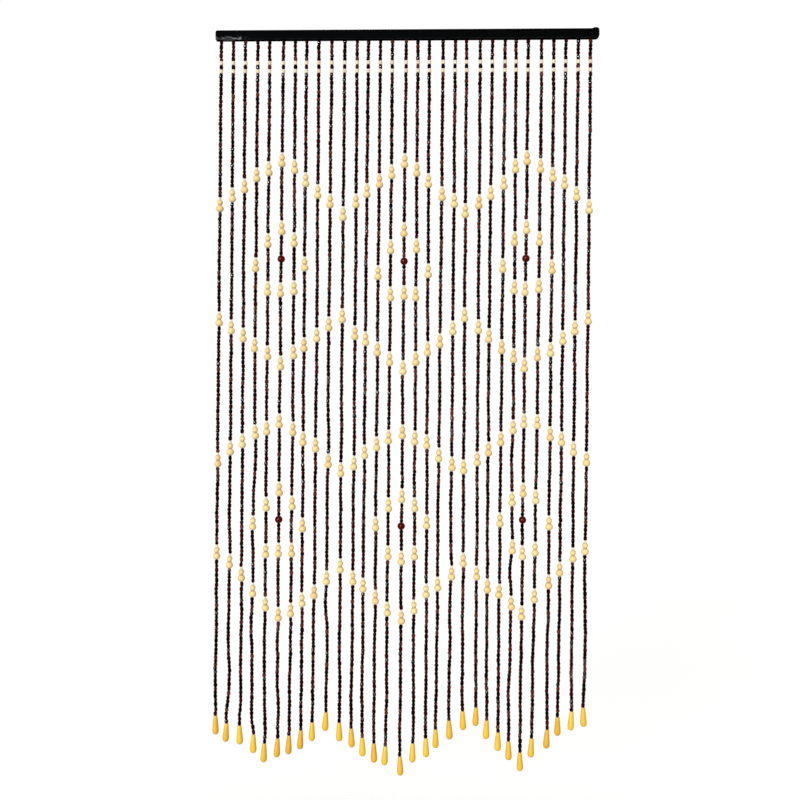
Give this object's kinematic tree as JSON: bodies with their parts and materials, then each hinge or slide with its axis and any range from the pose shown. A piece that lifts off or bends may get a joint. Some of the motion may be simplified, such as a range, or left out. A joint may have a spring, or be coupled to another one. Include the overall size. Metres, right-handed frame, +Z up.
{
  "type": "bead curtain with rail",
  "caption": "Hanging bead curtain: strings of brown, pale and red wooden beads in a diamond pattern, with yellow end drops, tied up through a black wooden rail.",
  "frame": {"origin": "middle of the rail's back face, where it lies against a wall or a door frame", "axes": "+X along the rail to the right as seen from the room, +Y to the wall, +Z up, with the strands hanging down -Z"},
  "size_m": [0.9095, 0.018, 1.7528],
  "materials": {
    "black_paint": "matt black paint on wood",
    "brown_beads": "glossy brown lacquer on wood",
    "pale_beads": "clear satin varnish on pale wood",
    "cream_beads": "bare cream wood",
    "red_beads": "glossy dark red lacquer on wood",
    "yellow_drops": "satin yellow stain on wood",
    "string": "twisted pale string"
  },
  "bodies": {
    "root": {"rail": "black_paint", "strands": "brown_beads"}
  },
  "joints": []
}
